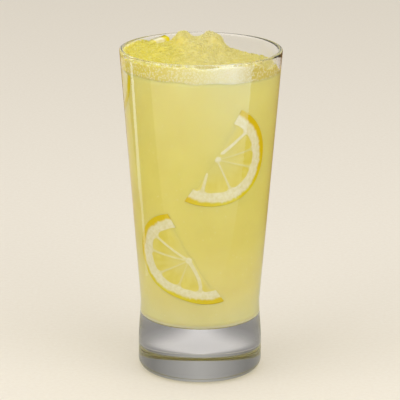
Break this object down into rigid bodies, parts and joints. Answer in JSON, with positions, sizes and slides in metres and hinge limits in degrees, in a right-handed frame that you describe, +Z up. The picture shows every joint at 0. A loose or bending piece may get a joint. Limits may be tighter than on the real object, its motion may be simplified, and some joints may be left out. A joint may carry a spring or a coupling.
{
  "type": "glass of lemonade",
  "caption": "Tall tapered heavy-base tumbler filled with cloudy iced lemonade, half slices of lemon against the wall and a heap of slush above the rim.",
  "frame": {"origin": "centre of the underside, on the surface that the glass stands on", "axes": "+Z up along the axis of the glass, -Y towards the viewer, +X to the viewer's right"},
  "size_m": [0.0782, 0.0782, 0.168],
  "materials": {
    "clear_glass": "clear pressed soda-lime glass, fire polished",
    "cloudy_lemonade": null,
    "lemon_slush": null,
    "lemon_fruit": null
  },
  "bodies": {
    "root": {"tumbler": "clear_glass", "lemonade": "cloudy_lemonade", "slush_heap": "lemon_slush", "lemon_slice_right": "lemon_fruit", "lemon_slice_left": "lemon_fruit", "lemon_slice_top": "lemon_fruit"}
  },
  "joints": []
}
